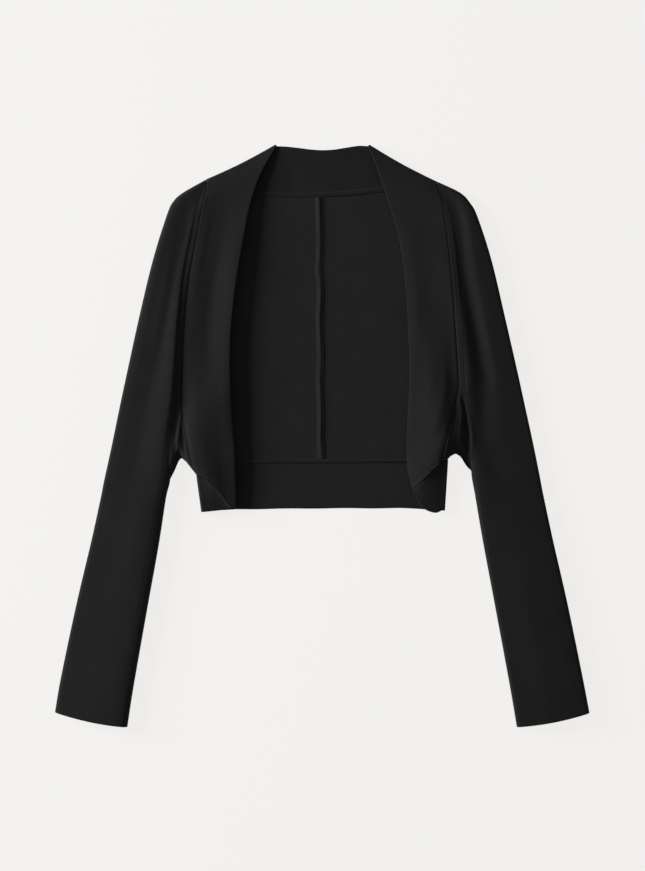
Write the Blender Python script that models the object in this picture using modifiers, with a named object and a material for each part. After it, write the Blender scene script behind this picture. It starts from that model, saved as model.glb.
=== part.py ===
"""A long-sleeved knitted shrug laid flat, front up: a rib back in two panels, one long band
that makes both fronts and the back neck, a rib hem band and two slim sleeves.

Tables are in millimetres. X runs across, +Y towards the neck, Z up from the surface it lies on.
"""

import math

import bpy
import numpy as np

MM = 0.001
WALL = 1.8
SEAM_GAP = 0.3
ARMHOLE_GAP = 0.7
RIB_PITCH = 2.6
RIB_HEIGHT = 0.5
SHOULDER_FOLD_RADIUS = 2.7
SHOULDER_FOLD_STEPS = 5
SHOULDER_SAG = 1.6
SLEEVE_EDGE_HEIGHT = 7.6
WELT_HEIGHT = 0.9
CENTRE_RIDGE_HEIGHT = 2.6
CENTRE_RIDGE_WIDTH = 2.4

# The edge of a sheet turned over on itself: how far in from the outline, and how much of the
# height, from the top round to the underside.
ROUND_EDGE = ((4.6, 1.0), (1.3, 0.84), (0.0, 0.46), (1.2, 0.12), (3.4, 0.0))

# Each sleeve from the shoulder to the cuff: the outer fold, the inner fold (over the open part,
# the crease beside the armhole), then the height of the top layer: near the outer fold, at its
# crest and how far across the crest is, at the dip past it, and at the inner fold.
SLEEVE_COLUMNS = (
    "out_x", "out_y", "in_x", "in_y", "flat", "crest", "crest_at", "dip", "dip_at", "inner",
    "bow",
)
RIGHT_SLEEVE = (
    (-139.6, 300.9, -137.2, 298.9, 5.4, 5.4, 0.50, 5.4, 0.80, 5.4, 0.0),
    (-163.0, 286.0, -145.5, 271.0, 6.4, 7.4, 0.60, 6.4, 0.85, 5.4, 0.0),
    (-175.0, 275.5, -148.0, 256.0, 7.6, 10.5, 0.66, 7.5, 0.90, 5.6, 0.0),
    (-183.0, 259.0, -152.0, 236.0, 8.4, 11.5, 0.72, 8.0, 0.93, 5.7, 0.0),
    (-200.0, 204.0, -160.5, 191.0, 9.8, 14.0, 0.76, 8.7, 0.95, 5.8, 0.0),
    (-216.5, 135.0, -167.5, 129.0, 10.3, 14.4, 0.78, 7.7, 0.95, 5.9, 0.0),
    (-232.0, 64.0, -171.0, 63.0, 10.3, 14.6, 0.76, 7.7, 0.94, 6.0, 0.0),
    (-238.0, 36.0, -170.5, 36.0, 10.3, 14.4, 0.72, 8.2, 0.93, 6.2, 0.0),
    (-248.5, -15.0, -177.5, -15.0, 10.3, 14.3, 0.66, 9.2, 0.90, 6.6, 0.0),
    (-257.0, -53.7, -179.0, -52.5, 10.3, 12.8, 0.60, 10.8, 0.84, 7.0, 0.0),
    (-261.0, -74.0, -184.0, -75.0, 10.3, 12.3, 0.55, 10.8, 0.80, 9.0, 0.0),
    (-272.0, -124.5, -192.5, -130.0, 10.3, 11.6, 0.52, 10.4, 0.80, 9.0, 0.0),
    (-289.8, -200.0, -206.5, -208.0, 10.3, 11.0, 0.50, 10.4, 0.80, 9.0, 0.0),
    (-307.8, -285.0, -222.5, -299.0, 10.0, 10.4, 0.50, 10.2, 0.80, 9.0, 0.0),
    (-315.2, -327.5, -229.8, -343.4, 9.8, 10.0, 0.50, 9.8, 0.80, 9.0, 4.0),
)
LEFT_SLEEVE = (
    (139.2, 298.2, 137.2, 296.0, 5.4, 5.4, 0.50, 5.4, 0.80, 5.4, 0.0),
    (163.0, 285.5, 145.5, 271.0, 6.2, 7.2, 0.52, 6.0, 0.80, 5.8, 0.0),
    (175.0, 273.0, 149.0, 256.0, 7.4, 9.5, 0.54, 6.0, 0.80, 6.8, 0.0),
    (183.5, 257.0, 153.0, 235.0, 8.2, 11.0, 0.56, 6.0, 0.81, 7.8, 0.0),
    (200.0, 206.0, 157.5, 191.0, 9.6, 13.3, 0.56, 6.6, 0.80, 9.0, 0.0),
    (216.8, 135.0, 163.0, 128.0, 9.8, 13.8, 0.50, 6.8, 0.76, 10.0, 0.0),
    (231.3, 71.5, 166.5, 69.5, 9.8, 13.3, 0.48, 7.0, 0.72, 10.4, 0.0),
    (235.8, 51.0, 167.5, 50.0, 9.8, 12.8, 0.48, 7.4, 0.72, 10.2, 0.0),
    (247.8, -4.0, 176.5, -4.5, 9.8, 12.3, 0.50, 8.2, 0.74, 9.0, 0.0),
    (256.0, -44.0, 176.0, -43.0, 9.8, 11.8, 0.50, 9.8, 0.76, 8.4, 0.0),
    (261.3, -71.5, 180.8, -73.0, 9.8, 11.6, 0.50, 10.2, 0.78, 9.0, 0.0),
    (272.6, -124.5, 190.0, -127.0, 10.0, 11.3, 0.50, 10.2, 0.80, 9.0, 0.0),
    (289.8, -200.0, 205.0, -207.0, 10.0, 10.8, 0.50, 10.2, 0.80, 9.0, 0.0),
    (307.3, -285.0, 222.0, -299.0, 9.8, 10.2, 0.50, 10.0, 0.80, 9.0, 0.0),
    (315.2, -327.5, 229.8, -343.4, 9.8, 10.0, 0.50, 9.8, 0.80, 9.0, 4.0),
)
UNDERARM_START = 7.0
UNDERARM_END = 9.0
CREASE_END = 8.2
SLEEVE_PLACES = (
    0.0, 0.4, 1.0, 2.0, 3.0, 3.5, 4.0, 4.5, 5.0, 6.0, 7.0, 7.5, 8.0, 8.34, 8.62, 8.852, 8.958, 9.0,
    9.5, 10.0, 11.0, 12.0, 13.0, 14.0,
)
SLEEVE_ACROSS = (0.88, 0.76, 0.64, 0.52, 0.40, 0.26, 0.12)
UNDERARM_ACROSS = (0.14, 0.32, 0.50, 0.68, 0.86, 1.0)
FRONT_PLACES = (
    0.0, 0.5, 1.0, 2.0, 3.0, 3.5, 4.0, 5.0, 6.0, 7.0, 8.0, 8.5, 9.0, 9.5, 10.0, 10.5, 11.0,
    11.5, 12.0, 12.5, 13.0,
)
BAND_ACROSS = (0.0, 0.02, 0.05, 0.09, 0.17, 0.29, 0.42, 0.56, 0.70, 0.84, 0.94, 1.0)

# The fold under the arm, from the crease of the sleeve over its peak to the hem band's corner.
RIGHT_UNDERARM_FOLD = (
    (-178.8, -51.0), (-174.5, -42.0), (-170.5, -31.0), (-167.6, -26.5),
    (-162.5, -31.5), (-157.6, -38.5), (-153.2, -45.0), (-150.0, -49.8),
)
LEFT_UNDERARM_FOLD = (
    (175.8, -41.0), (169.0, -31.5), (163.5, -24.5), (158.7, -21.6),
    (153.2, -25.0), (149.4, -29.8), (146.0, -31.9), (142.8, -32.3),
)

# Each front from the shoulder fold to the hem: its armhole edge, its free edge, then the height
# of its upper face at the armhole, three places across, and the free edge.
FRONT_COLUMNS = (
    "seam_x", "seam_y", "free_x", "free_y", "seam", "third", "middle", "far", "free",
)
RIGHT_FRONT = (
    (-135.7, 298.8, -53.5, 340.1, 5.4, 5.4, 5.4, 5.4, 5.4),
    (-137.4, 287.0, -67.0, 317.5, 5.3, 5.5, 5.6, 6.0, 6.6),
    (-140.4, 273.0, -76.8, 295.5, 5.2, 6.0, 6.0, 7.2, 9.0),
    (-144.5, 251.0, -85.6, 266.0, 5.2, 6.8, 6.4, 8.8, 12.0),
    (-150.4, 217.7, -93.8, 228.4, 5.2, 7.8, 6.8, 10.5, 15.0),
    (-155.8, 187.0, -100.3, 193.0, 5.2, 8.4, 7.0, 11.5, 17.0),
    (-159.3, 158.7, -104.1, 162.3, 5.2, 8.8, 7.2, 12.2, 18.2),
    (-162.8, 117.4, -107.9, 119.8, 5.2, 9.0, 7.6, 12.8, 18.6),
    (-165.2, 76.1, -108.8, 77.3, 5.2, 9.2, 8.4, 12.6, 18.0),
    (-165.4, 36.0, -107.9, 40.7, 5.2, 10.6, 10.4, 12.8, 16.2),
    (-160.5, 8.9, -106.2, 10.0, 5.4, 12.2, 11.8, 12.4, 14.6),
    (-155.8, -14.8, -103.8, -20.7, 5.6, 12.8, 12.4, 12.0, 13.4),
    (-152.8, -34.8, -101.7, -53.7, 5.6, 10.6, 11.0, 11.0, 12.6),
    (-147.7, -51.3, -100.3, -87.3, 5.4, 6.4, 7.4, 9.0, 11.6),
)
LEFT_FRONT = (
    (135.7, 295.6, 54.5, 340.0, 5.4, 5.4, 5.4, 5.4, 5.4),
    (138.1, 286.5, 64.3, 315.7, 5.3, 5.8, 6.0, 5.6, 5.2),
    (140.7, 276.7, 72.6, 291.5, 5.4, 6.6, 7.0, 6.0, 5.2),
    (144.9, 254.3, 82.0, 262.6, 5.6, 7.4, 8.2, 6.6, 5.2),
    (148.9, 222.4, 91.5, 226.0, 5.8, 7.8, 9.2, 7.2, 5.2),
    (151.9, 193.0, 96.8, 193.0, 6.0, 8.0, 10.2, 7.8, 5.2),
    (154.6, 163.4, 99.5, 161.1, 6.2, 8.2, 10.8, 8.0, 5.2),
    (157.2, 123.3, 101.5, 121.0, 6.2, 8.6, 11.0, 8.2, 5.2),
    (160.0, 84.4, 103.4, 83.2, 6.0, 9.6, 11.2, 8.2, 5.2),
    (160.8, 54.9, 103.8, 52.5, 5.8, 10.8, 11.0, 8.0, 5.2),
    (154.0, 23.0, 102.9, 21.8, 5.8, 12.6, 10.6, 7.6, 5.2),
    (146.9, -6.5, 102.1, -8.9, 5.8, 13.2, 10.4, 7.2, 5.4),
    (142.8, -21.8, 101.8, -38.4, 5.8, 13.2, 10.6, 7.6, 5.6),
    (140.4, -32.5, 106.6, -64.3, 6.6, 12.0, 10.4, 8.0, 6.0),
)

# Where the back panels end at the neck, the free top edge of the band, and the hem band's two
# edges; the last reach round the side folds.
NECK_SEAM = (
    (-135.7, 298.8), (-106.2, 289.3), (-70.8, 283.2), (-35.4, 281.4), (0.0, 281.8),
    (35.4, 283.8), (72.0, 287.9), (103.8, 292.2), (135.7, 295.6),
)
NECK_EDGE = (
    (-53.5, 340.1), (-43.0, 340.0), (-28.0, 338.4), (-14.0, 336.6), (0.0, 335.7),
    (14.0, 336.4), (28.0, 338.6), (44.0, 340.9), (54.5, 340.0),
)
HEM_SEAM = (
    (-147.7, -51.8), (-138.0, -47.2), (-120.4, -38.4), (-97.0, -32.4), (0.0, -31.3),
    (95.6, -30.7), (118.0, -31.5), (134.0, -32.8), (140.4, -33.5),
)
HEM_EDGE = (
    (-141.0, -91.4), (-120.4, -89.7), (-100.3, -88.5), (-61.4, -87.9), (0.0, -87.3),
    (92.0, -87.1), (115.6, -87.9), (134.0, -89.2), (146.0, -90.0),
)
HEM_SIDES = ((-148.2, -142.4), (148.4, 144.0))
RIGHT_HEM_TIP = -101.0
LEFT_HEM_TIP = 107.2
LEFT_HEM_END_X = (106.6, 118.0, 132.8, 142.0)
LEFT_HEM_END_Y = (-65.8, -85.6, -92.6, -89.5)
RIGHT_TIP_HEIGHT = 11.0
LEFT_TIP_HEIGHT = 6.0
UNDERARM_TOP_Y = 33.0


def columns_of(names, rows):
    """A table's columns by name."""
    return dict(zip(names, np.array(rows, float).T))


def eased(values, places):
    """Values between a table's rows, on a smooth curve through them (Catmull-Rom)."""
    values = np.asarray(values, float)
    last = len(values) - 1
    found = []
    for place in places:
        i = min(int(place), last - 1)
        t = place - i
        p0, p1 = values[max(i - 1, 0)], values[i]
        p2, p3 = values[i + 1], values[min(i + 2, last)]
        found.append(
            p1
            + 0.5 * t * (p2 - p0)
            + t * t * (p0 - 2.5 * p1 + 2.0 * p2 - 0.5 * p3)
            + t * t * t * (1.5 * (p1 - p2) + 0.5 * (p3 - p0))
        )
    return np.array(found)


def soft_steps(x, knots_x, knots_y):
    """A line through the knots that is level at each of them."""
    i = int(np.clip(np.searchsorted(knots_x, x) - 1, 0, len(knots_x) - 2))
    t = np.clip((x - knots_x[i]) / (knots_x[i + 1] - knots_x[i]), 0.0, 1.0)
    t = t * t * (3.0 - 2.0 * t)
    return knots_y[i] + (knots_y[i + 1] - knots_y[i]) * t


def black_material(name, roughness):
    material = bpy.data.materials.new(name)
    material.use_nodes = True
    shader = material.node_tree.nodes["Principled BSDF"]
    shader.inputs["Base Color"].default_value = (0.012, 0.012, 0.013, 1.0)
    shader.inputs["Roughness"].default_value = roughness
    shader.inputs["Metallic"].default_value = 0.0
    material.diffuse_color = (0.05, 0.05, 0.055, 1.0)
    return material


def add_object(name, points, faces, roughness):
    mesh = bpy.data.meshes.new(name)
    mesh.from_pydata([tuple(c * MM for c in p) for p in points], [], faces)
    mesh.validate()
    mesh.update()
    obj = bpy.data.objects.new(name, mesh)
    shrug.objects.link(obj)
    mesh.materials.append(black_material("knit_" + name, roughness))
    return obj


def thicken(obj):
    """The sheet is the outside of the cloth; the wall goes inwards from it."""
    solidify = obj.modifiers.new("cloth wall", "SOLIDIFY")
    solidify.thickness = WALL * MM
    solidify.offset = -1.0
    solidify.use_even_offset = False
    solidify.use_rim = True


# ---- the seam lines that pieces share ----


def armhole_line(front):
    """The armhole seam of one side, shoulder to hem, with the height of the top layer there."""
    return np.column_stack([eased(front[key], FRONT_PLACES) for key in ("seam_x", "seam_y", "seam")])


def at_height(line, y, column):
    """A value of a line that runs down the cloth, at one y."""
    return float(np.interp(-y, -line[:, 1], line[:, column]))


def along(line, part):
    """A place on a line, by the part of its length before it."""
    line = np.array(line)
    run = np.concatenate([[0.0], np.cumsum(np.hypot(*np.diff(line, axis=0).T))])
    return np.array([np.interp(part * run[-1], run, line[:, i]) for i in (0, 1)])


def strip_faces(low, high):
    """Faces between two rows of point numbers."""
    return [
        (low[i], low[i + 1], high[i + 1], high[i])
        for i in range(len(low) - 1)
    ]


# ---- the sleeves ----


def sleeve_section(row, roundness):
    """The loop of one row, from its inner fold or crease over the top and back underneath.

    Roundness is 0 where the inner end is a crease, and 1 where it is the sleeve's inner fold.
    """
    outer = np.array([row["out_x"], row["out_y"]])
    inner = np.array([row["in_x"], row["in_y"]])
    width = float(np.hypot(*(inner - outer)))
    way = (inner - outer) / width
    rim = [(inset * min(1.0, width / 12.0), part) for inset, part in ROUND_EDGE]
    edge = min(SLEEVE_EDGE_HEIGHT, row["flat"])
    end = row["inner"] + (SLEEVE_EDGE_HEIGHT - row["inner"]) * roundness
    knots_x = (0.0, 0.16, row["crest_at"], row["dip_at"], 1.0)
    knots_y = (edge, row["flat"], row["crest"], row["dip"], end)
    near = rim[0][0] / width
    down = np.array([way[1], -way[0]]) * np.sign(inner[0] - outer[0])

    loop = []
    for inset, part in rim[2::-1]:
        loop.append((*(inner - way * inset), end * (1.0 + (part - 1.0) * roundness)))
    for part in SLEEVE_ACROSS:
        across = near + part * (1.0 - 2.0 * near)
        loop.append((*(outer + way * width * across), soft_steps(across, knots_x, knots_y)))
    for inset, part in rim:
        loop.append((*(outer + way * inset), edge * part))
    loop.append((*(0.5 * (outer + inner)), 0.0))
    for inset, part in rim[:2:-1]:
        loop.append((*(inner - way * inset), end * part * max(0.0, 4.0 * roundness - 3.0)))
    bowed = []
    for x, y, z in loop:
        across = float(np.dot(np.array([x, y]) - outer, way)) / width
        push = down * row["bow"] * 4.0 * across * (1.0 - across)
        bowed.append((x + push[0], y + push[1], z))
    return bowed


def underarm_section(row, place, crease_z, line, fold, side):
    """The cloth from the crease to the armhole seam: (top layer, under layer)."""
    crease = np.array([row["in_x"], row["in_y"]])
    outer = np.array([row["out_x"], row["out_y"]])
    fold = np.array(fold)
    reach = (place - UNDERARM_START) / (UNDERARM_END - UNDERARM_START)
    if reach <= 0.0:
        reach = 0.0
        seam_y = crease[1] + 4.0 * (crease[1] - outer[1]) / np.hypot(*(crease - outer))
        seam_y = min(seam_y, line[0][1] - 0.05)
    else:
        seam_y = UNDERARM_TOP_Y + (fold[-1][1] - UNDERARM_TOP_Y) * reach
    gap = ARMHOLE_GAP + 1.2 * max(0.0, 1.0 - place) + 1.2 * max(0.0, 4.0 * reach - 3.0)
    seam = np.array([at_height(line, seam_y, 0) + side * gap, seam_y])
    seam_z = at_height(line, seam_y, 2)
    rise = 0.0 if reach == 0.0 else 10.0 * reach * (1.0 - reach)
    top_layer = []
    under_layer = []
    for part in UNDERARM_ACROSS:
        straight = fold[0] + (fold[-1] - fold[0]) * part
        spot = crease + (seam - crease) * part + (along(fold, part) - straight) * reach
        welt = WELT_HEIGHT if part == UNDERARM_ACROSS[-2] else 0.0
        z = crease_z + (seam_z - crease_z) * part
        z += welt + rise * math.sin(math.pi * part)
        under = 0.0
        if reach > 0.97:
            z *= ROUND_EDGE[1][1]
            under = SLEEVE_EDGE_HEIGHT * ROUND_EDGE[3][1]
        top_layer.append((*spot, z))
        under_layer.append((*spot, under))
    return top_layer, under_layer


def sleeve(name, rows, front, fold, side):
    table = columns_of(SLEEVE_COLUMNS, rows)
    line = armhole_line(front)
    points = []
    rings = []
    for place in SLEEVE_PLACES:
        row = {key: float(eased(table[key], [place])[0]) for key in SLEEVE_COLUMNS}
        roundness = float(np.clip((place - CREASE_END) / (UNDERARM_END - CREASE_END), 0.0, 1.0))
        loop = sleeve_section(row, roundness)
        first = len(points)
        points += loop
        numbers = list(range(first, first + len(loop)))
        if place > UNDERARM_END:
            rings.append(numbers + [first])
            continue
        if place == UNDERARM_END:
            # Both layers meet on the fold under the arm.
            edge = SLEEVE_EDGE_HEIGHT * ROUND_EDGE[2][1]
            first = len(points)
            points += [(*along(fold, part), edge) for part in UNDERARM_ACROSS]
            shared = list(range(first, first + len(UNDERARM_ACROSS)))
            tube = numbers + [numbers[0]]
            rings.append(shared[::-1] + tube + shared)
            closing = len(rings) - 1
            continue
        top_layer, under_layer = underarm_section(row, place, loop[0][2], line, fold, side)
        first = len(points)
        points += top_layer
        points.append((row["in_x"], row["in_y"], loop[-1][2]))
        points += under_layer
        count = len(top_layer)
        tops = list(range(first, first + count))
        unders = list(range(first + count, first + 2 * count + 1))
        rings.append(tops[::-1] + numbers + unders)

    faces = []
    for i in range(len(rings) - 1):
        low = tube if i == closing else rings[i]
        faces += strip_faces(low, rings[i + 1])
    if side > 0:
        faces = [face[::-1] for face in faces]
    thicken(add_object(name, points, faces, 0.85))


# ---- the band: right front, shoulder fold, back neck, shoulder fold, left front ----


def shoulder_line(front, outward):
    """The fold over one shoulder: its ends, and the way out of it."""
    seam = np.array([front["seam_x"][0], front["seam_y"][0]])
    free = np.array([front["free_x"][0], front["free_y"][0]])
    way = (free - seam) / np.hypot(*(free - seam))
    return seam, free, np.array([-way[1], way[0]]) * outward


def sagged(spot, part, out, share):
    """The shoulder folds dip a little between their ends."""
    return spot - out * SHOULDER_SAG * share * math.sin(math.pi * part)


def front_row(front, place, outward):
    out = shoulder_line(front, outward)[2]
    seam = np.array([eased(front["seam_x"], [place])[0], eased(front["seam_y"], [place])[0]])
    free = np.array([eased(front["free_x"], [place])[0], eased(front["free_y"], [place])[0]])
    heights = [eased(front[key], [place])[0] for key in FRONT_COLUMNS[4:]]
    row = []
    for part in BAND_ACROSS:
        z = heights[0] if part < 0.09 else eased(heights, [4.0 * part])[0]
        if part == BAND_ACROSS[2]:
            z += WELT_HEIGHT
        spot = sagged(seam + (free - seam) * part, part, out, max(0.0, 1.0 - place))
        row.append((*spot, z))
    return row


def fold_rows(front, outward):
    """The half turn over the shoulder, from the top layer down to the back."""
    seam, free, out = shoulder_line(front, outward)
    rows = []
    for k in range(1, SHOULDER_FOLD_STEPS + 1):
        angle = math.pi * k / (SHOULDER_FOLD_STEPS + 1)
        push = out * (SHOULDER_FOLD_RADIUS * math.sin(angle))
        z = SHOULDER_FOLD_RADIUS * (1.0 + math.cos(angle))
        row = []
        for part in BAND_ACROSS:
            spot = sagged(seam + (free - seam) * part, part, out, 1.0)
            row.append((*(spot + push), z))
        rows.append(row)
    return rows


def front_and_neck_band():
    rows = [front_row(right_front, place, 1.0) for place in FRONT_PLACES[::-1]]
    rows += fold_rows(right_front, 1.0)
    last = len(NECK_SEAM) - 1
    for i, (low, high) in enumerate(zip(np.array(NECK_SEAM), np.array(NECK_EDGE))):
        low = low + np.array([0.0, 1.5 * SEAM_GAP])
        out = shoulder_line(*((right_front, 1.0) if i < last / 2 else (left_front, -1.0)))[2]
        share = 1.0 if i in (0, last) else 0.0
        row = []
        for part in BAND_ACROSS:
            row.append((*sagged(low + (high - low) * part, part, out, share), 0.0))
        rows.append(row)
    rows += fold_rows(left_front, -1.0)[::-1]
    rows += [front_row(left_front, place, -1.0) for place in FRONT_PLACES]
    points = [point for row in rows for point in row]
    count = len(BAND_ACROSS)
    numbers = [list(range(i * count, (i + 1) * count)) for i in range(len(rows))]
    faces = []
    for low, high in zip(numbers[:-1], numbers[1:]):
        faces += strip_faces(low, high)
    thicken(add_object("front_and_neck_band", points, faces, 0.85))


# ---- the rib pieces, a column of points to each side of each rib ----


def ribbed_piece(name, columns):
    """Columns of (top, bottom) ends of the outside and of the inside face."""
    points = []
    for column in columns:
        points += column
    faces = []
    for i in range(len(columns) - 1):
        a, b = 4 * i, 4 * (i + 1)
        faces.append((a, a + 1, b + 1, b))
        faces.append((a + 2, b + 2, b + 3, a + 3))
        faces.append((a, b, b + 2, a + 2))
        faces.append((a + 1, a + 3, b + 3, b + 1))
    last = 4 * (len(columns) - 1)
    faces.append((0, 2, 3, 1))
    faces.append((last, last + 1, last + 3, last + 2))
    add_object(name, points, faces, 0.9)


def back_panel(name, front, side):
    line = armhole_line(front)
    widest = int(np.argmax(side * line[:, 0]))
    upper = line[: widest + 1]
    lower = line[widest:]
    neck = np.array(NECK_SEAM)
    hem = np.array(HEM_SEAM)
    shoulder = abs(line[0][0])
    hip = abs(line[-1][0])
    reach = abs(line[widest][0]) - 0.6
    half = 0.5 * RIB_PITCH
    inner = 0.5 * SEAM_GAP + CENTRE_RIDGE_WIDTH
    count = int((reach - inner) / half)
    places = [(0.5 * SEAM_GAP, CENTRE_RIDGE_HEIGHT), (inner - 0.5, CENTRE_RIDGE_HEIGHT)]
    places += [(inner + k * (reach - inner) / count, RIB_HEIGHT * (k % 2)) for k in range(count + 1)]
    columns = []
    for across, rise in places:
        x = side * across
        if across <= shoulder:
            top = np.interp(x, neck[:, 0], neck[:, 1])
        else:
            top = np.interp(across, side * upper[:, 0], upper[:, 1])
        if across <= hip:
            bottom = np.interp(x, hem[:, 0], hem[:, 1]) + SEAM_GAP
        else:
            bottom = np.interp(across, side * lower[::-1, 0], lower[::-1, 1])
        z = WALL + rise
        columns.append([(x, top, 0.0), (x, bottom, 0.0), (x, top, z), (x, bottom, z)])
    if side > 0:
        columns = columns[::-1]
    ribbed_piece(name, columns)


def front_end(front, x):
    """The height of a front's lower end at one x."""
    part = (x - front["seam_x"][-1]) / (front["free_x"][-1] - front["seam_x"][-1])
    heights = [front[key][-1] for key in FRONT_COLUMNS[4:]]
    return eased(heights, [4.0 * float(np.clip(part, 0.0, 1.0))])[0]


def hem_front_columns(front, side_x, side_low, tip_x, tip_z, edge_x, edge_y):
    """One front end of the hem band, from its tip to the side fold."""
    end_x = abs(front["free_x"][-1]), abs(front["seam_x"][-1])
    end_y = front["free_y"][-1], front["seam_y"][-1]
    flat = 2.0 * SHOULDER_FOLD_RADIUS
    count = int(abs(tip_x - side_x) / (0.5 * RIB_PITCH))
    columns = []
    for k in range(count):
        part = k / (count - 1)
        x = tip_x + (side_x - tip_x) * part
        low = tip_x + (side_low - tip_x) * part
        top_y = np.interp(abs(x), end_x, end_y) - 2.0 * SEAM_GAP
        low_y = min(np.interp(low, edge_x, edge_y), top_y - 0.8)
        near_fold = min(1.0, (count - 1 - k) / 6.0)
        rise = RIB_HEIGHT * (k % 2) * (0 < k < count - 1)
        top_z = flat + (front_end(front, x) - flat) * near_fold + rise
        low_z = flat + (tip_z - flat) * (1.0 - part) ** 2 + rise
        columns.append([
            (x, top_y, top_z), (low, low_y, low_z),
            (x, top_y, top_z - WALL - rise), (low, low_y, low_z - WALL - rise),
        ])
    return columns


def hem_side_columns(side, side_x, side_low):
    """One side fold, from the front layer down to the back."""
    radius = SHOULDER_FOLD_RADIUS
    seam = np.array(HEM_SEAM)
    edge = np.array(HEM_EDGE)
    columns = []
    for k in range(1, SHOULDER_FOLD_STEPS + 1):
        angle = math.pi * k / (SHOULDER_FOLD_STEPS + 1)
        out = side * math.sin(angle)
        x, low = side_x + radius * out, side_low + radius * out
        z = radius * (1.0 + math.cos(angle))
        in_x, in_z = out * WALL, math.cos(angle) * WALL
        top_y = np.interp(x, seam[:, 0], seam[:, 1])
        low_y = np.interp(low, edge[:, 0], edge[:, 1])
        if side < 0:
            top_y = min(top_y, right_front["seam_y"][-1] - 2.0 * SEAM_GAP)
        columns.append([
            (x, top_y, z), (low, low_y, z), (x - in_x, top_y, z - in_z), (low - in_x, low_y, z - in_z),
        ])
    return columns


def hem_back_columns(first, last):
    """The stretch under the back, between (x at the seam, x at the edge) of its two ends."""
    seam = np.array(HEM_SEAM)
    edge = np.array(HEM_EDGE)
    count = int((last[0] - first[0]) / (0.5 * RIB_PITCH))
    columns = []
    for k in range(count + 1):
        x, low = np.array(first) + (np.array(last) - np.array(first)) * k / count
        top_y = np.interp(x, seam[:, 0], seam[:, 1])
        low_y = np.interp(low, edge[:, 0], edge[:, 1])
        z = WALL + RIB_HEIGHT * (k % 2)
        columns.append([(x, top_y, 0.0), (low, low_y, 0.0), (x, top_y, z), (low, low_y, z)])
    return columns


def hem_band():
    """From the right front's tip round the side, along the back and round to the left tip."""
    radius = SHOULDER_FOLD_RADIUS
    right = [HEM_SIDES[0][0] + radius, HEM_SIDES[0][1] + radius]
    left = [HEM_SIDES[1][0] - radius, HEM_SIDES[1][1] - radius]
    edge = np.array(HEM_EDGE)
    columns = hem_front_columns(
        right_front, *right, RIGHT_HEM_TIP, RIGHT_TIP_HEIGHT, edge[:, 0], edge[:, 1]
    )
    columns += hem_side_columns(-1.0, *right)
    columns += hem_back_columns(right, left)
    columns += hem_side_columns(1.0, *left)[::-1]
    columns += hem_front_columns(
        left_front, *left, LEFT_HEM_TIP, LEFT_TIP_HEIGHT, LEFT_HEM_END_X, LEFT_HEM_END_Y
    )[::-1]
    ribbed_piece("hem_band", columns[::-1])


for old in list(bpy.data.objects):
    bpy.data.objects.remove(old, do_unlink=True)
shrug = bpy.data.collections.new("knitted_shrug")
bpy.context.scene.collection.children.link(shrug)

right_front = columns_of(FRONT_COLUMNS, RIGHT_FRONT)
left_front = columns_of(FRONT_COLUMNS, LEFT_FRONT)
back_panel("back_right_panel", right_front, -1.0)
back_panel("back_left_panel", left_front, 1.0)
front_and_neck_band()
hem_band()
sleeve("right_sleeve", RIGHT_SLEEVE, right_front, RIGHT_UNDERARM_FOLD, -1.0)
sleeve("left_sleeve", LEFT_SLEEVE, left_front, LEFT_UNDERARM_FOLD, 1.0)
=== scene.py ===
"""A black knitted shrug laid flat, front up, on a pale studio floor.

The frame gives the six knitted pieces as plain solids. Here each one is a thin shell of cloth on
its solid's form, with its folds, ribs, seams and fine knit.

Tables are in millimetres. X runs across, +Y towards the neck, Z up from the floor. Right and left
are the wearer's, so the right side is at -X.
"""

import math

import bpy
import numpy as np
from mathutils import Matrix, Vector


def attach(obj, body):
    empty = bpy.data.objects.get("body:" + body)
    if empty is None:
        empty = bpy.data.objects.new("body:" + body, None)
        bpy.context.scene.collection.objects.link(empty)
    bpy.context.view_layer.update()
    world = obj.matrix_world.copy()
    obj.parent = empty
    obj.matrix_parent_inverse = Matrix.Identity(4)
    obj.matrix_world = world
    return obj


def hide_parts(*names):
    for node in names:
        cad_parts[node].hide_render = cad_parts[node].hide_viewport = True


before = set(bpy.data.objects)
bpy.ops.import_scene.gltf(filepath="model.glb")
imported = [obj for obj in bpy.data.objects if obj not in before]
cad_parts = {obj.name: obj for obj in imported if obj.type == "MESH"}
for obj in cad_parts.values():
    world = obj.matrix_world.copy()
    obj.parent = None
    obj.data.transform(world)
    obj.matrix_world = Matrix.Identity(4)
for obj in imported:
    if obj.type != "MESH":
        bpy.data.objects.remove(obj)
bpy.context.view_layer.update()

MM = 0.001
# Walls, the rib's pitch and relief, and how far apart the points are.
SLEEVE_WALL = 1.5
BAND_WALL = 1.8
RIB_WALL = 1.5
STRIP_WALL = 0.7
RIB_PITCH = 2.6
RIB_RELIEF = 0.07
RIB_STEP = RIB_PITCH / 6
SLEEVE_ROW_STEP = 2.6
BAND_ROW_STEP = 2.3
STRIP_STEP = 1.8
# The sleeves' edges: how round they are, how high, and the outer edge's share of the first rise.
EDGE_ROUND = 3.2
SLEEVE_EDGE_HEIGHT = 8.8
OUTER_EDGE_SHARE = 0.88
SHOULDER_FOLD_RADIUS = 2.7
SHOULDER_SAG = 1.6
# Gaps beside the armhole seams, and between the back and its neighbours.
ARMHOLE_GAP = 0.25
SEAM_GAP = 0.2
BACK_TOP = 1.9
BACK_FOLD_SHARE = 0.25
NECK_LIFT = 2.4
# A seam's welt (height, distance from the seam, width), and its turned edge (depth, width).
WELT = (0.2, 2.6, 1.4)
TURNED_EDGE = (0.3, 0.9)
# How much of the right armhole seam fades under the arm.
RIGHT_SEAM_FADE = 0.75
# The welt along a front's lower end: height and width.
END_WELT = (0.7, 1.5)

# ---- the cut and how it lies ----

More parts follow.
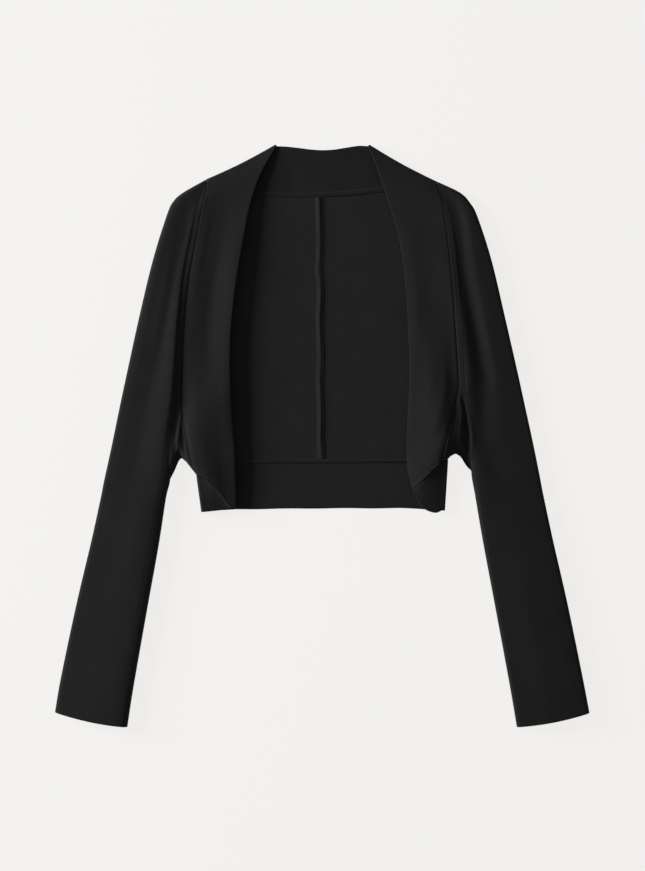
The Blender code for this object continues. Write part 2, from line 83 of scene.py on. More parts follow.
# Each sleeve from the shoulder to the cuff: the outer fold, the inner fold (over the open part,
# the crease beside the armhole), then the top layer's height where it has risen from the outer
# fold, in the hollow past that, on the crest, in the dip past it and at the inner end, with how
# far across each is.
SLEEVE_COLUMNS = (
    "out_x", "out_y", "in_x", "in_y", "rise", "rise_at", "hollow", "hollow_at", "crest",
    "crest_at", "dip", "dip_at", "inner",
)
RIGHT_SLEEVE = (
    (-136.7, 301.1, -136.2, 299.6, 5.4, 0.30, 5.4, 0.50, 5.4, 0.70, 5.4, 0.90, 5.4),
    (-163.0, 286.0, -145.5, 271.0, 9.6, 0.30, 9.4, 0.60, 9.4, 0.80, 9.3, 0.92, 9.2),
    (-175.0, 275.5, -148.0, 256.0, 11.0, 0.26, 10.2, 0.66, 10.5, 0.88, 10.4, 0.96, 10.2),
    (-183.0, 259.0, -152.0, 236.0, 11.6, 0.22, 10.3, 0.74, 10.9, 0.90, 10.6, 0.96, 10.2),
    (-200.0, 204.0, -160.5, 191.0, 12.0, 0.20, 10.9, 0.70, 11.7, 0.88, 11.3, 0.94, 10.6),
    (-216.5, 135.0, -167.5, 129.0, 11.8, 0.22, 11.3, 0.62, 13.6, 0.91, 12.6, 0.97, 11.2),
    (-232.0, 64.0, -171.0, 63.0, 11.0, 0.22, 11.0, 0.49, 14.8, 0.90, 12.8, 0.97, 10.8),
    (-238.0, 36.0, -170.5, 36.0, 10.6, 0.20, 10.8, 0.43, 15.0, 0.86, 12.2, 0.96, 10.2),
    (-248.5, -15.0, -177.5, -15.0, 10.0, 0.20, 10.3, 0.42, 14.1, 0.86, 13.2, 0.94, 12.6),
    (-257.0, -53.7, -179.0, -52.5, 9.6, 0.18, 10.0, 0.36, 12.6, 0.84, 11.7, 0.92, 9.8),
    (-261.0, -74.0, -184.0, -75.0, 9.0, 0.14, 10.0, 0.34, 12.6, 0.83, 11.7, 0.92, 9.8),
    (-272.0, -124.5, -192.5, -130.0, 8.8, 0.14, 9.9, 0.36, 12.5, 0.82, 11.6, 0.92, 9.5),
    (-289.8, -200.0, -206.5, -208.0, 8.6, 0.12, 10.0, 0.36, 12.6, 0.83, 11.7, 0.93, 9.8),
    (-307.8, -285.0, -222.5, -299.0, 8.4, 0.10, 10.1, 0.36, 12.5, 0.80, 11.7, 0.92, 9.8),
    (-315.2, -327.8, -229.6, -345.2, 8.2, 0.10, 9.8, 0.36, 12.0, 0.80, 11.3, 0.92, 9.6),
)
LEFT_SLEEVE = (
    (136.7, 298.2, 136.2, 296.4, 5.4, 0.30, 5.4, 0.50, 5.4, 0.70, 5.4, 0.90, 5.4),
    (163.0, 285.5, 145.5, 271.0, 7.4, 0.28, 7.0, 0.58, 7.5, 0.86, 7.8, 0.95, 8.0),
    (175.0, 273.0, 149.0, 256.0, 9.4, 0.28, 7.8, 0.62, 8.4, 0.90, 8.6, 0.97, 8.8),
    (183.5, 257.0, 153.0, 235.0, 10.4, 0.32, 7.9, 0.68, 8.6, 0.92, 8.9, 0.97, 9.2),
    (200.0, 206.0, 157.5, 191.0, 10.4, 0.43, 7.3, 0.78, 8.4, 0.94, 8.8, 0.98, 9.3),
    (216.8, 135.0, 163.0, 128.0, 10.6, 0.42, 7.0, 0.70, 10.8, 0.93, 10.9, 0.98, 11.0),
    (231.3, 71.5, 166.5, 69.5, 10.2, 0.38, 7.0, 0.64, 11.0, 0.90, 10.8, 0.97, 10.2),
    (235.8, 51.0, 167.5, 50.0, 9.8, 0.42, 8.2, 0.65, 11.2, 0.93, 11.0, 0.98, 10.6),
    (247.8, -4.0, 176.5, -4.5, 9.5, 0.46, 8.8, 0.78, 10.1, 0.955, 10.4, 0.985, 10.6),
    (256.0, -44.0, 176.0, -43.0, 9.4, 0.34, 9.6, 0.62, 10.9, 0.88, 10.4, 0.95, 9.4),
    (261.3, -71.5, 180.8, -73.0, 9.6, 0.24, 10.4, 0.54, 10.7, 0.86, 10.3, 0.94, 9.3),
    (272.6, -124.5, 190.0, -127.0, 10.5, 0.22, 11.1, 0.52, 10.2, 0.84, 9.8, 0.93, 9.0),
    (289.8, -200.0, 205.0, -207.0, 11.2, 0.22, 11.5, 0.52, 9.8, 0.84, 9.3, 0.93, 8.7),
    (307.3, -285.0, 222.0, -299.0, 11.3, 0.22, 11.6, 0.52, 9.8, 0.84, 9.3, 0.93, 8.7),
    (315.6, -328.4, 229.8, -345.2, 10.8, 0.22, 11.2, 0.52, 9.6, 0.84, 9.2, 0.93, 8.6),
)
# How far each cuff's edge bows out.
CUFF_BOW = 2.6
# The sleeve rows where the armhole turns in under the arm, where the crease rounds into the inner
# fold, and where the tube closes; the y where that turn starts; and how deep the cloth falls
# between the crease and the seam, on the right (-1) and on the left (1).
UNDERARM_START = 7.0
CREASE_END = 8.55
UNDERARM_END = 9.0
UNDERARM_TOP_Y = 33.0
UNDERARM_FALLS = {-1.0: 0.8, 1.0: 4.0}

# The fold under the arm, from the crease of the sleeve over its peak to the hem band's corner.
RIGHT_UNDERARM_FOLD = (
    (-178.8, -51.0), (-174.5, -42.0), (-170.5, -31.0), (-167.6, -26.5),
    (-162.5, -31.5), (-157.6, -38.5), (-153.2, -45.0), (-150.0, -49.8),
)
LEFT_UNDERARM_FOLD = (
    (175.8, -41.0), (169.0, -31.5), (163.5, -24.5), (158.7, -21.6),
    (153.2, -25.0), (149.4, -29.8), (146.0, -31.9), (142.8, -32.3),
)

# Each front from the shoulder fold to the hem: its armhole edge, its free edge, then the height
# of its upper face at the places across that FRONT_PARTS gives, from the armhole to the free edge.
FRONT_COLUMNS = (
    "seam_x", "seam_y", "free_x", "free_y", "seam", "near", "third", "middle", "far", "free",
)
FRONT_PARTS = (0.03, 0.13, 0.30, 0.50, 0.75, 1.0)
RIGHT_FRONT = (
    (-135.7, 298.8, -53.5, 340.1, 5.4, 5.4, 5.4, 5.4, 5.4, 5.4),
    (-137.4, 287.0, -67.0, 317.5, 7.2, 7.1, 6.9, 6.9, 7.2, 7.9),
    (-140.4, 273.0, -76.8, 295.5, 9.5, 9.0, 8.3, 8.0, 8.1, 8.7),
    (-144.5, 251.0, -85.6, 266.0, 10.2, 10.0, 9.1, 8.8, 9.4, 10.8),
    (-150.4, 217.7, -92.7, 228.4, 10.2, 10.4, 9.3, 9.0, 10.7, 13.2),
    (-155.8, 187.0, -98.9, 193.0, 10.0, 10.5, 9.6, 8.8, 11.3, 14.9),
    (-159.3, 158.7, -103.1, 162.3, 9.8, 10.4, 9.8, 8.9, 11.3, 15.4),
    (-162.8, 117.4, -107.3, 119.8, 9.6, 10.3, 9.9, 9.1, 11.3, 15.4),
    (-165.2, 76.1, -108.0, 77.3, 9.0, 10.3, 10.8, 10.9, 12.5, 15.4),
    (-165.4, 36.0, -106.6, 40.7, 9.2, 11.4, 13.4, 13.8, 14.0, 15.4),
    (-162.6, 8.9, -104.9, 10.0, 12.0, 14.6, 15.6, 15.0, 13.8, 13.3),
    (-158.4, -14.8, -102.8, -20.7, 13.6, 15.9, 16.4, 15.3, 13.4, 12.6),
    (-154.2, -34.8, -101.7, -53.7, 14.2, 16.0, 16.6, 15.5, 13.0, 11.8),
    (-146.4, -48.0, -100.6, -87.3, 12.6, 14.2, 14.8, 13.6, 10.8, 9.4),
)
LEFT_FRONT = (
    (135.7, 295.6, 54.5, 340.0, 5.4, 5.4, 5.4, 5.4, 5.4, 5.4),
    (138.1, 286.5, 64.3, 315.7, 6.8, 6.8, 6.7, 6.4, 6.0, 5.6),
    (140.7, 276.7, 72.6, 291.5, 8.2, 8.1, 7.6, 7.0, 6.4, 5.4),
    (144.9, 254.3, 82.0, 262.6, 9.0, 8.8, 8.1, 7.4, 6.6, 5.3),
    (148.9, 222.4, 91.5, 226.0, 9.2, 9.0, 8.1, 7.6, 7.1, 5.2),
    (151.9, 193.0, 96.8, 193.0, 9.6, 9.2, 8.2, 7.6, 7.4, 5.2),
    (154.6, 163.4, 99.5, 161.1, 10.0, 9.5, 8.6, 7.8, 8.0, 5.3),
    (157.2, 123.3, 101.5, 121.0, 9.8, 9.4, 9.2, 9.1, 8.5, 5.4),
    (160.0, 84.4, 103.0, 83.2, 9.6, 9.6, 10.6, 10.9, 8.8, 5.4),
    (160.8, 54.9, 102.4, 52.5, 9.4, 10.2, 12.9, 12.5, 9.2, 5.4),
    (154.0, 23.0, 100.8, 21.8, 11.2, 13.6, 15.0, 13.0, 9.4, 5.3),
    (146.9, -6.5, 99.6, -8.9, 15.6, 16.4, 15.3, 12.8, 9.2, 5.3),
    (142.8, -21.8, 100.2, -38.4, 15.4, 16.4, 15.5, 13.2, 10.0, 6.0),
    (140.4, -32.5, 106.0, -64.3, 14.4, 15.6, 15.0, 13.8, 11.8, 8.4),
)

# Where the back panels end at the neck, the free top edge of the band, and the hem band's seam
# and lower edge.
NECK_SEAM = (
    (-135.7, 298.8), (-106.2, 289.3), (-70.8, 283.2), (-35.4, 281.4), (0.0, 281.8),
    (35.4, 283.8), (72.0, 287.9), (103.8, 292.2), (135.7, 295.6),
)
NECK_EDGE = (
    (-53.5, 340.1), (-43.0, 340.0), (-28.0, 338.4), (-14.0, 336.6), (0.0, 335.7),
    (14.0, 336.4), (28.0, 338.6), (44.0, 340.9), (54.5, 340.0),
)
HEM_SEAM = (
    (-147.7, -48.4), (-138.0, -44.2), (-120.4, -38.4), (-97.0, -32.4), (0.0, -31.3),
    (95.6, -30.7), (118.0, -31.5), (134.0, -32.6), (140.4, -31.6), (146.0, -31.0), (149.4, -29.2),
)
HEM_EDGE = np.array((
    (-141.0, -91.4), (-120.4, -89.7), (-100.3, -88.5), (-61.4, -87.9), (0.0, -87.3),
    (92.0, -87.1), (115.6, -87.9), (134.0, -89.2), (146.0, -90.0),
))
# How far out the hem band's side folds are, at the seam and at the edge, and where its tips are.
HEM_SIDES = ((-148.2, -142.4), (148.9, 145.2))
HEM_TIPS = (-107.5, 107.2)
LEFT_HEM_END = ((106.6, -65.8), (118.0, -85.6), (132.8, -92.6), (142.0, -89.5))
# How far the right front's lower end bows, at the places across that BOW_PARTS gives.
BOW_PARTS = (0.0, 0.28, 0.49, 0.64, 0.75, 0.86, 1.0)
RIGHT_END_BOW = (0.0, 3.4, 3.4, 0.9, -2.8, -4.3, 0.0)
# How deep and wide the right front's free edge rolls down, and how much of it each row has.
EDGE_ROLL = 1.9
EDGE_ROLL_WIDTH = 11.0
EDGE_ROLL_ROWS = ((2.0, 5.0, 9.0, 11.0), (0.0, 1.0, 1.0, 0.0))
# How clear the armhole seams are, from the chest up to the shoulder.
SEAM_CLEARNESS = ((150.0, 240.0), (1.0, 0.45))
# The hem band's height on its side folds at the seam and at the edge, its height at the tips, and
# how far from the fold its seam has risen to the front's height.
RIGHT_HEM_HEIGHTS = (14.2, 9.4, 6.2, 16.0)
LEFT_HEM_HEIGHTS = (9.6, 5.6, 10.4, 32.0)

# ---- soft folds: x, y, half-width and height along each; a minus height is a trough ----

TOP_FOLDS = (
    # the right sleeve
    ((-172, 250, 5, 0), (-180, 200, 5, 0.4), (-191, 140, 6, 0.5), (-203, 70, 7, 0)),
    ((-206, -60, 16, 0), (-222, -120, 18, 0.6), (-241, -190, 20, 0.4), (-262, -270, 20, 0)),
    # the folds under the right arm
    ((-166.5, 32, 1.4, 0), (-170, 11, 1.8, -1.0), (-173, -7, 1.6, -0.6), (-174, -26, 1.4, 0)),
    ((-166, 28, 1.4, 0), (-168.6, 8, 1.8, 1.3), (-170.2, -15, 2.0, 1.2), (-170.6, -30, 2, 0)),
    ((-171, 6, 1.4, 0), (-174, -12, 1.6, 0.8), (-176.6, -28, 1.8, 0.9), (-178, -40, 1.6, 0)),
    ((-166, 20, 1.4, 0), (-164.6, 2, 1.8, -1.0), (-162.6, -16, 2.0, -1.0), (-161, -32, 2, 0)),
    # the right front
    ((-129, 32, 1.8, 0), (-122, 33.5, 2.2, 0.45), (-114, 32, 1.8, 0)),
    ((-126, 24, 1.6, 0), (-120, 25, 2.0, 0.35), (-113, 23.5, 1.6, 0)),
    # the folds under the left arm
    ((163, 50, 1.4, 0), (168, 26, 2.0, -1.8), (170.6, 2, 2.2, -2.2), (172.3, -28, 2.2, -1.3)),
    ((161, 48, 1.4, 0), (164.2, 28, 2.0, 1.6), (163.4, 8, 2.4, 1.6), (161.5, -14, 2.6, 0.5)),
    ((158.5, 46, 1.4, 0), (157.5, 28, 2.0, -1.3), (153.5, 6, 2.2, -1.6), (150, -13, 2.0, -0.8)),
)
BACK_FOLDS = (
    ((-70, 262, 22, 0), (-60, 190, 26, 0.5), (-58, 90, 26, 0.6), (-62, 0, 22, 0)),
    ((48, 270, 20, 0), (60, 170, 24, 0.5), (56, 60, 22, 0.4), (60, -10, 18, 0)),
    ((-28, 240, 12, 0), (-25, 150, 14, -0.3), (-30, 40, 12, 0)),
)


# ---- working out the surfaces ----


def columns_of(names, rows):
    """A table's columns by name."""
    return dict(zip(names, np.array(rows, float).T))


def eased(values, places):
    """Values between a table's rows, on a smooth curve through them (Catmull-Rom)."""
    values = np.asarray(values, float)
    places = np.asarray(places, float)
    last = len(values) - 1
    i = np.clip(np.floor(places).astype(int), 0, last - 1)
    t = places - i
    if values.ndim > 1:
        t = t[:, None]
    p0, p1 = values[np.maximum(i - 1, 0)], values[i]
    p2, p3 = values[i + 1], values[np.minimum(i + 2, last)]
    return (
        p1
        + 0.5 * t * (p2 - p0)
        + t * t * (p0 - 2.5 * p1 + 2.0 * p2 - 0.5 * p3)
        + t * t * t * (1.5 * (p1 - p2) + 0.5 * (p3 - p0))
    )


def curve(points, count):
    """Points evenly spread over a table's rows, on a smooth curve through them."""
    return eased(points, np.linspace(0.0, len(points) - 1.0, count))


def row_at(table, place):
    """The values of a named table at one place down it."""
    return {key: float(eased(column, [place])[0]) for key, column in table.items()}


def smooth_through(x, knots_x, knots_y):
    """A smooth line through the knots that turns only at them, steepest at its two ends."""
    knots_x, knots_y = np.array(knots_x, float), np.array(knots_y, float)
    gaps = np.diff(knots_x)
    slopes = np.diff(knots_y) / gaps
    way = np.zeros(len(knots_x))
    way[0], way[-1] = 1.4 * slopes[0], 1.4 * slopes[-1]
    same = slopes[:-1] * slopes[1:] > 0.0
    first, second = 2.0 * gaps[1:] + gaps[:-1], gaps[1:] + 2.0 * gaps[:-1]
    before, after = np.where(same, slopes[:-1], 1.0), np.where(same, slopes[1:], 1.0)
    way[1:-1] = np.where(same, (first + second) / (first / before + second / after), 0.0)
    i = np.clip(np.searchsorted(knots_x, x) - 1, 0, len(gaps) - 1)
    t = np.clip((x - knots_x[i]) / gaps[i], 0.0, 1.0)
    rise = knots_y[i] + (knots_y[i + 1] - knots_y[i]) * t * t * (3.0 - 2.0 * t)
    return rise + gaps[i] * t * (1.0 - t) * (way[i] * (1.0 - t) - way[i + 1] * t)


def bump(distance, width):
    return np.exp(-((distance / width) ** 2))


def relief(x, y, folds):
    """The height that soft folds add at points of the cloth."""
    added = np.zeros(np.shape(x))
    for rows in folds:
        line = curve(rows, 6 * (len(rows) - 1) + 1)
        reach = 2.6 * line[:, 2].max()
        low, high = line.min(axis=0) - reach, line.max(axis=0) + reach
        near = (x > low[0]) & (x < high[0]) & (y > low[1]) & (y < high[1])
        at_x, at_y = x[near], y[near]
        nearest = np.full(at_x.shape, 1e9)
        width, height = np.ones(at_x.shape), np.zeros(at_x.shape)
        for a, b in zip(line[:-1], line[1:]):
            step = b - a
            part = ((at_x - a[0]) * step[0] + (at_y - a[1]) * step[1]) / (step[:2] @ step[:2])
            part = np.clip(part, 0.0, 1.0)
            away = np.hypot(at_x - a[0] - step[0] * part, at_y - a[1] - step[1] * part)
            closer = away < nearest
            nearest = np.where(closer, away, nearest)
            width = np.where(closer, a[2] + step[2] * part, width)
            height = np.where(closer, a[3] + step[3] * part, height)
        added[near] += height * bump(nearest, width)
    return added


def unevenness(x, y, size=0.11):
    """The slight waves of cloth that has been smoothed out by hand."""
    return size * (
        np.sin(x / 17.0 + 1.3 * np.sin(y / 41.0) + 0.4)
        * np.sin(y / 29.0 + 1.1 * np.sin(x / 37.0) + 1.7)
        + 0.6 * np.sin(x / 7.9 + y / 31.0 + 2.1) * np.sin(y / 13.0 - x / 47.0)
    )


def spaced_places(rows, step, finer):
    """Places between a table's rows, about a step apart; finer is (from, to, times) stretches."""
    rows = np.array(rows)
    lengths = np.hypot(*np.diff(0.5 * (rows[:, 0:2] + rows[:, 2:4]), axis=0).T)
    places = []
    for i, length in enumerate(lengths):
        times = max([1.0] + [t for low, high, t in finer if low <= i < high])
        count = max(2, math.ceil(length * times / step))
        places += [i + k / count for k in range(count)]
    return np.array(places + [float(len(lengths))])


def at_height(line, y, column):
    """A value of a line that runs down the cloth, at one y."""
    return float(np.interp(-y, -line[:, 1], line[:, column]))


def along(line, part):
    """Places on a line, by the part of its length before them."""
    line = np.array(line)
    run = np.concatenate([[0.0], np.cumsum(np.hypot(*np.diff(line, axis=0).T))])
    goal = np.asarray(part) * run[-1]
    return np.column_stack([np.interp(goal, run, line[:, i]) for i in (0, 1)])


# ---- from surfaces to closed cloth ----

# How far a cut edge bulges past its two faces, as a share of the wall.
EDGE_BULGE = 0.42


class Surface:
    """The outside of a piece of cloth: grids of points joined where they meet."""

    def __init__(self):
        self.points, self.faces, self.knit, self.count = [], [], [], 0

    def add_grid(self, grid, flip=False, middle=0, start=0.0):
        """A grid of points, row by row, with the knit's own place of each in millimetres."""
        rows, cols = grid.shape[:2]
        across = np.cumsum(np.linalg.norm(np.diff(grid, axis=1), axis=2), axis=1)
        across = np.concatenate([np.zeros((rows, 1)), across], axis=1)
        across -= across[:, middle : middle + 1]
        steps = np.linalg.norm(np.diff(grid[:, middle], axis=0), axis=1)
        down = start + np.concatenate([[0.0], np.cumsum(steps)])
        corner = self.count + (np.arange(rows - 1)[:, None] * cols + np.arange(cols - 1)).ravel()
        faces = np.stack([corner, corner + 1, corner + cols + 1, corner + cols], axis=1)
        self.points.append(grid.reshape(-1, 3))
        self.knit.append(np.stack([across, np.repeat(down[:, None], cols, 1)], 2).reshape(-1, 2))
        self.faces.append(faces[:, ::-1] if flip else faces)
        self.count += rows * cols
        return down[-1]

    def joined(self):
        """Points, faces and the knit place of each face's corners, with shared points merged."""
        points, knit = np.concatenate(self.points), np.concatenate(self.knit)
        faces = np.concatenate(self.faces)
        _, first, index = np.unique(
            np.round(points, 4), axis=0, return_index=True, return_inverse=True
        )
        return points[first], index.reshape(-1)[faces], knit[faces]


def shell(surface, wall):
    """A closed wall under a surface: (points, faces, knit places of each face's corners)."""
    points, faces, places = surface.joined()
    count = len(points)
    corners = points[faces]
    turn = np.cross(corners[:, 2] - corners[:, 0], corners[:, 3] - corners[:, 1])
    normals = np.zeros_like(points)
    for k in range(4):
        np.add.at(normals, faces[:, k], turn)
    normals /= np.maximum(np.linalg.norm(normals, axis=1, keepdims=True), 1e-9)

    # The open edges, and the way out of the cloth at each point on them.
    ends = np.stack([faces, np.roll(faces, -1, axis=1)], 2).reshape(-1, 2)
    end_places = np.stack([places, np.roll(places, -1, axis=1)], 2).reshape(-1, 2, 2)
    real = ends[:, 0] != ends[:, 1]
    ends, end_places = ends[real], end_places[real]
    codes = ends[:, 0] * count + ends[:, 1]
    is_open = ~np.isin(codes, ends[:, 1] * count + ends[:, 0])
    rim, rim_places = ends[is_open], end_places[is_open]
    way = points[rim[:, 1]] - points[rim[:, 0]]
    way /= np.linalg.norm(way, axis=1, keepdims=True)
    out = np.zeros_like(points)
    for k in range(2):
        np.add.at(out, rim[:, k], np.cross(way, normals[rim[:, k]]))
    out /= np.maximum(np.linalg.norm(out, axis=1, keepdims=True), 1e-9)

    # The edge is round: the points of the outline stay, and both faces end a little inside it.
    on_rim = np.unique(rim)
    number = np.zeros(count, int)
    number[on_rim] = np.arange(len(on_rim))
    bulge = EDGE_BULGE * wall
    outer = points - out * bulge
    levels = [outer, outer - normals * wall]
    for degrees in (45.0, 90.0, 135.0):
        angle = math.radians(degrees)
        middle = outer - normals * wall * 0.5
        turned = normals * (0.5 * wall * math.cos(angle)) + out * (bulge * math.sin(angle))
        levels.append((middle + turned)[on_rim])
    starts = [number[rim] + 2 * count + k * len(on_rim) for k in range(3)]
    rings = [rim, *starts, rim + count]
    all_faces = [faces, faces[:, ::-1] + count]
    all_places = [places, places[:, ::-1]]
    for high, low in zip(rings[:-1], rings[1:]):
        all_faces.append(np.stack([high[:, 1], high[:, 0], low[:, 0], low[:, 1]], axis=1))
        all_places.append(rim_places[:, (1, 0, 0, 1)])
    return np.concatenate(levels), np.concatenate(all_faces), np.concatenate(all_places)


def cloth_object(name, surface, wall, slot, nodes=()):
    """A piece of knit: its closed shell, with the knit's own place as its UV map."""
    points, faces, places = shell(surface, wall)
    rings, spots = [], []
    for face, place in zip(faces.tolist(), places.tolist()):
        keep = [k for k in range(4) if face[k] != face[k - 1]]
        if len(keep) > 2:
            rings.append([face[k] for k in keep])
            spots += [place[k] for k in keep]
    mesh = bpy.data.meshes.new(name)
    mesh.from_pydata((points * MM).tolist(), [], rings)
    layer = mesh.uv_layers.new(name="knit")
    layer.data.foreach_set("uv", (np.array(spots) * MM).ravel())
    mesh.materials.append(KNITS[slot])
    mesh.shade_smooth()
    obj = bpy.data.objects.new(name, mesh)
    bpy.context.scene.collection.objects.link(obj)
    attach(obj, "root")
    if nodes:
        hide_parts(*nodes)
    return obj


# ---- the sleeves ----

TOP_PARTS = np.linspace(1.0, 0.0, 50)
UNDER_PARTS = np.linspace(0.0, 1.0, 26)
ARC = np.radians(np.linspace(0.0, 180.0, 11))
WEB_PARTS = np.linspace(0.0, 1.0, 19)[1:]
# The column of points from which the knit is measured across.
MIDDLE_COLUMN = 24
# A sleeve wider than this has fully round edges, and its folds fade out this far from its edges.
ROUND_FROM_WIDTH = 12.0
FOLD_MARGIN = 14.0
# How much of the turn under the arm is done when the two layers start to close.
CLOSING_FROM = 0.95
# Where the rows of points are closer together: from row, to row, how many times.
SLEEVE_FINER = ((0, 1, 2.0), (7, 8, 1.8), (8, 9, 2.6))
FRONT_FINER = ((12, 13, 1.6),)
# How far the seam allowance runs under the front past the armhole seam, and how much lower it is.
ALLOWANCE = ((0.8, 1.5), (2.0, 1.9), (3.6, 1.9))


def armhole_line(front):
    """The armhole seam of one side, shoulder to hem, with the height of the top layer there."""
    return curve(np.column_stack([front[key] for key in ("seam_x", "seam_y", "seam")]), 160)


def sleeve_ring(row, roundness):
    """One row's loop from its inner fold or crease over the top and back underneath.

    Gives the loop and, for each point, how much of the top layer's folds it takes.
    """
    outer = np.array([row["out_x"], row["out_y"]])
    inner = np.array([row["in_x"], row["in_y"]])
    width = float(np.hypot(*(inner - outer)))
    way = (inner - outer) / width
    near = EDGE_ROUND * min(1.0, width / ROUND_FROM_WIDTH)
    edge = OUTER_EDGE_SHARE * row["rise"]
    end = row["inner"] + (SLEEVE_EDGE_HEIGHT - row["inner"]) * roundness
    inset = near * (1.0 - np.sin(ARC))
    part = 0.5 * (1.0 + np.cos(ARC))
    half = len(ARC) // 2
    closing = max(0.0, 4.0 * roundness - 3.0)

    knots_x = (0.0, row["rise_at"], row["hollow_at"], row["crest_at"], row["dip_at"], 1.0)
    knots_y = (edge, row["rise"], row["hollow"], row["crest"], row["dip"], end)
    over = near + TOP_PARTS * (width - 2.0 * near)
    under = near + UNDER_PARTS * (width - 2.0 * near)
    across = np.concatenate([
        width - inset[half:0:-1], over, inset[1:-1], under, width - inset[-2 : half - 1 : -1],
    ])
    height = np.concatenate([
        end * (1.0 + (part[half:0:-1] - 1.0) * roundness),
        smooth_through(over / width, knots_x, knots_y),
        edge * part[1:-1],
        np.zeros(len(under)),
        end * part[-2 : half - 1 : -1] * closing,
    ])
    share = across / width
    down = np.array([way[1], -way[0]]) * np.sign(inner[0] - outer[0])
    spots = outer + way * across[:, None]
    spots = spots + down * (row["bow"] * 4.0 * share * (1.0 - share))[:, None]
    takes = np.zeros(len(across))
    takes[: half + len(over)] = 1.0
    takes *= np.clip(across / FOLD_MARGIN, 0.0, 1.0)
    takes *= 1.0 - roundness * (1.0 - np.clip((width - across) / FOLD_MARGIN, 0.0, 1.0))
    return np.column_stack([spots, height]), takes


def seam_profile(spots, seam):
    """A welt beside a seam, and the edge turned down into it."""
    distance = np.hypot(*(spots - seam).T)
    height, away, width = WELT
    return height * bump(distance - away, width) - TURNED_EDGE[0] * bump(distance, TURNED_EDGE[1])


def underarm_web(row, place, crease_z, line, fold, side):
    """The cloth from the crease to the armhole seam, and its allowance past that.

    Gives the top layer, the under layer, and how much of the folds the top layer takes.
    """
    crease = np.array([row["in_x"], row["in_y"]])
    outer = np.array([row["out_x"], row["out_y"]])
    reach = max(0.0, (place - UNDERARM_START) / (UNDERARM_END - UNDERARM_START))
    if reach == 0.0:
        seam_y = crease[1] + 4.0 * (crease[1] - outer[1]) / np.hypot(*(crease - outer))
        seam_y = line[0][1] + (seam_y - line[0][1]) * min(1.0, place) - 0.05
    else:
        seam_y = UNDERARM_TOP_Y + (fold[-1][1] - UNDERARM_TOP_Y) * reach
    seam = np.array([at_height(line, seam_y, 0) + side * ARMHOLE_GAP, seam_y])
    seam_z = at_height(line, seam_y, 2)
    fold = np.array(fold)
    part = WEB_PARTS[:, None]
    straight = fold[0] + (fold[-1] - fold[0]) * part
    spots = crease + (seam - crease) * part + (along(fold, WEB_PARTS) - straight) * reach
    fall = UNDERARM_FALLS[side] * min(1.0, reach / 0.35)
    z = crease_z + (seam_z - crease_z) * WEB_PARTS - fall * np.sin(math.pi * WEB_PARTS**0.5)
    shown = float(np.interp(seam_y, *SEAM_CLEARNESS))
    if side < 0:
        shown *= 1.0 - RIGHT_SEAM_FADE * min(1.0, 4.0 * reach)
    z = z + shown * seam_profile(spots, seam)
    # Both layers meet on the fold under the arm.
    closing = max(0.0, (reach - CLOSING_FROM) / (1.0 - CLOSING_FROM))
    apart = math.sqrt(max(0.0, 1.0 - closing * closing))
    middle = 0.5 * SLEEVE_EDGE_HEIGHT
    top = np.column_stack([spots, middle + (z - middle) * apart])
    under = np.column_stack([spots, np.full(len(spots), middle * (1.0 - apart))])
    run, drop = np.array(ALLOWANCE).T * apart
    drop[0] *= shown
    tuck_y = np.full(len(run), seam[1])
    tuck = np.column_stack([seam[0] - side * run, tuck_y, top[-1, 2] - drop])
    return np.concatenate([top, tuck]), under, apart


def sleeve_cloth(name, node, rows, front, fold, side):
    """A sleeve: the open part beside the armhole, and the closed tube below the arm."""
    table = columns_of(SLEEVE_COLUMNS, rows)
    table["bow"] = np.append(np.zeros(len(rows) - 1), CUFF_BOW)
    line = armhole_line(front)
    upper, lower = [], []
    for place in spaced_places(rows, SLEEVE_ROW_STEP, SLEEVE_FINER):
        row = row_at(table, place)
        roundness = float(np.clip((place - CREASE_END) / (UNDERARM_END - CREASE_END), 0.0, 1.0))
        loop, takes = sleeve_ring(row, roundness)
        if place <= UNDERARM_END:
            top, under, apart = underarm_web(row, place, loop[0, 2], line, fold, side)
            points = np.concatenate([top[::-1], loop, under])
            takes_web = np.repeat([0.0, apart], [len(ALLOWANCE), len(WEB_PARTS)])
            takes_row = np.concatenate([takes_web, takes, np.zeros(len(under))])
            upper.append(np.column_stack([points, takes_row]))
        if place >= UNDERARM_END:
            lower.append(np.column_stack([loop, takes]))
    upper, lower = np.array(upper), np.array(lower)
    for part in (upper, lower):
        x, y = part[..., 0], part[..., 1]
        part[..., 2] += (relief(x, y, TOP_FOLDS) + unevenness(x, y)) * part[..., 3]
    # The tube starts on the last row above the fold under the arm, and closes on itself.
    web = len(WEB_PARTS) + len(ALLOWANCE)
    lower[0] = upper[-1, web : web + lower.shape[1]]
    lower[:, -1] = lower[:, 0]
    surface = Surface()
    end = surface.add_grid(upper[..., :3], side > 0, middle=web + MIDDLE_COLUMN)
    surface.add_grid(lower[..., :3], side > 0, middle=MIDDLE_COLUMN, start=end)
    return cloth_object(name, surface, SLEEVE_WALL, "fine_knit", [node])


# ---- the band ----

BAND_PARTS = np.concatenate([np.linspace(0.0, 0.12, 8)[:-1], np.linspace(0.12, 1.0, 30)])
FOLD_STEPS = 12


def shoulder_line(front, outward):
    """The fold over one shoulder: its ends, and the way out of it."""
    seam = np.array([front["seam_x"][0], front["seam_y"][0]])
    free = np.array([front["free_x"][0], front["free_y"][0]])
    way = (free - seam) / np.hypot(*(free - seam))
    return seam, free, np.array([-way[1], way[0]]) * outward


def across_band(start, end, out, share):
    """Points across the band, drawn in by a share of the shoulder fold's sag."""
    sag = SHOULDER_SAG * share * np.sin(math.pi * BAND_PARTS)[:, None]
    return start + (end - start) * BAND_PARTS[:, None] - out * sag


